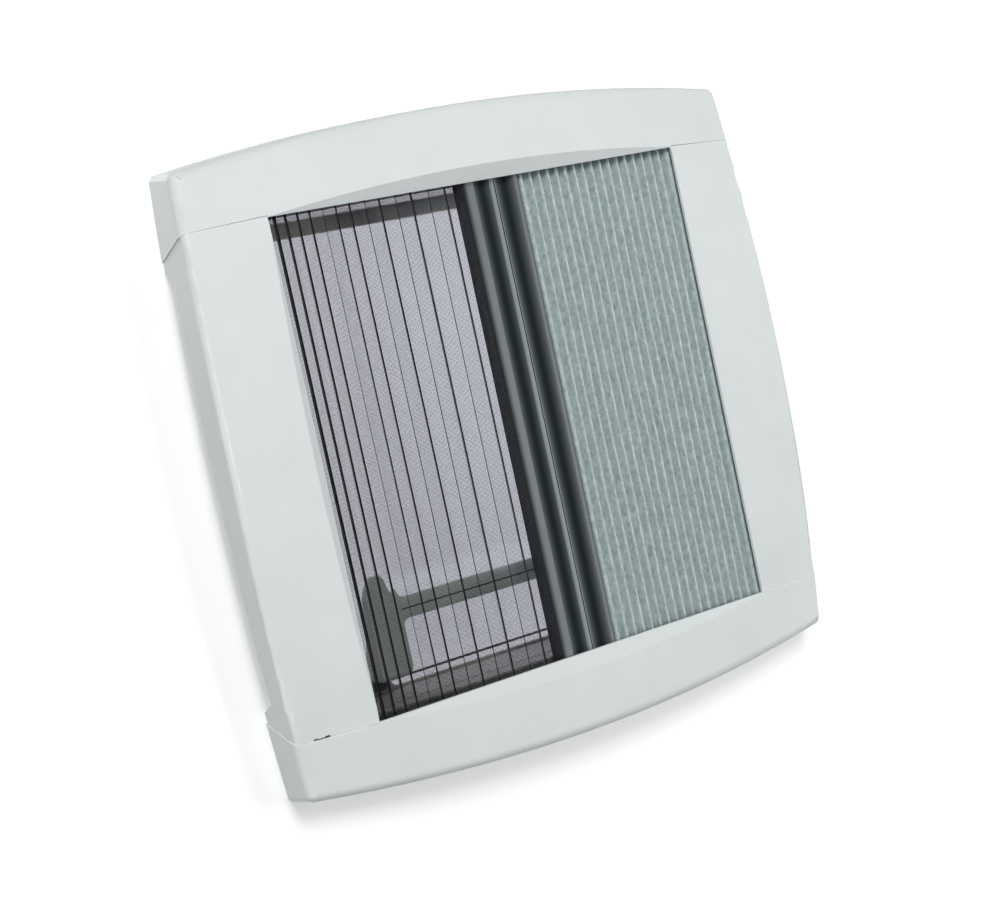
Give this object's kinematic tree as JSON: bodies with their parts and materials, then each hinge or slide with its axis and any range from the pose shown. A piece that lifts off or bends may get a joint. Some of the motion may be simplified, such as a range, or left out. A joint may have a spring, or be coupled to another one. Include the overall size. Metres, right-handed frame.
{
  "type": "roof vent",
  "caption": "Hinged roof vent for a square cut-out, with a double dome above and a room-side trim frame holding a pleated flyscreen and a pleated blind.",
  "frame": {"origin": "centre of the square cut-out, on the roof's outer surface, where the flange's underside lies", "axes": "+Z to the sky, room side down; the dome's hinge is on the -Y side and it opens at the +Y side; +X to the blind's side"},
  "size_m": [0.526, 0.5116, 0.1513],
  "materials": {
    "trim_white": "satin",
    "frame_white": "satin",
    "rail_grey": "satin",
    "seal_rubber": "matt",
    "hardware_black": "satin",
    "steel": "brushed",
    "cord_black": "matt",
    "mesh_black": "matt",
    "blind_grey_green": "matt",
    "bar_grey_green": "satin",
    "dome_grey": "satin",
    "acrylic_clear": "clear",
    "acrylic_tint": "lightly tinted, clear",
    "bow_grey": "satin"
  },
  "bodies": {
    "frame": {"outer_frame": "frame_white", "dome_seal": "seal_rubber", "mounting_frame": "frame_white", "clamp_screws": "steel", "hinge_leaf_frame": "hardware_black", "hinge_pins": "steel", "hinge_screws": "steel", "stay_bosses": "frame_white", "stay_rivets": "steel", "catch_sockets": "hardware_black", "guide_rail_hinge_side": "rail_grey", "guide_rail_opening_side": "rail_grey", "flyscreen_end_rail": "rail_grey", "blind_end_rail": "rail_grey", "tension_cords": "cord_black", "end_cap_hinge_side": "trim_white", "end_cap_opening_side": "trim_white", "side_panel_left": "trim_white", "side_panel_right": "trim_white", "flyscreen_cloth": "mesh_black", "blind_cloth": "blind_grey_green"},
    "flyscreen_puller": {"flyscreen_bar": "bar_grey_green", "flyscreen_bar_glides": "hardware_black"},
    "blind_puller": {"blind_bar": "bar_grey_green", "blind_bar_glides": "hardware_black"},
    "dome": {"dome_frame": "dome_grey", "dome_inner_shell": "acrylic_clear", "dome_outer_shell": "acrylic_tint", "hinge_leaf_dome": "hardware_black", "stay_rail_left": "hardware_black", "stay_rail_right": "hardware_black", "stay_rail_screws": "steel", "catch_studs": "hardware_black", "bow_brackets": "hardware_black"},
    "bow": {"bow_arm_left": "bow_grey", "bow_arm_right": "bow_grey", "bow_grip_bar": "bow_grey", "bow_pins": "steel"},
    "stay_left": {"stay_arm_left": "steel", "stay_pin_left": "steel"},
    "stay_right": {"stay_arm_right": "steel", "stay_pin_right": "steel"}
  },
  "joints": [
    {"name": "flyscreen_slide", "type": "slide", "parent": "frame", "child": "flyscreen_puller", "axis": [1, 0, 0], "range_m": [-0.132, 0], "deforming": ["flyscreen_cloth"]},
    {"name": "blind_slide", "type": "slide", "parent": "frame", "child": "blind_puller", "axis": [1, 0, 0], "range_m": [0, 0.105], "deforming": ["blind_cloth"]},
    {"name": "dome_hinge", "type": "hinge", "parent": "frame", "child": "dome", "pos_m": [0, -0.229, 0.015], "axis": [1, 0, 0], "range_deg": [0, 50]},
    {"name": "bow_pivot", "type": "hinge", "parent": "dome", "child": "bow", "pos_m": [0, 0.17, 0.008], "axis": [1, 0, 0], "range_deg": [0, 22]},
    {"name": "stay_left_pivot", "type": "hinge", "parent": "frame", "child": "stay_left", "pos_m": [0, -0.05275, 0.0015], "axis": [1, 0, 0], "range_deg": [0, 100]},
    {"name": "stay_right_pivot", "type": "hinge", "parent": "frame", "child": "stay_right", "pos_m": [0, -0.05275, 0.0015], "axis": [1, 0, 0], "range_deg": [0, 100]}
  ],
  "couplings": [
    {"joint": "stay_left_pivot", "follows": "dome_hinge", "ratio": 2},
    {"joint": "stay_right_pivot", "follows": "dome_hinge", "ratio": 2}
  ]
}
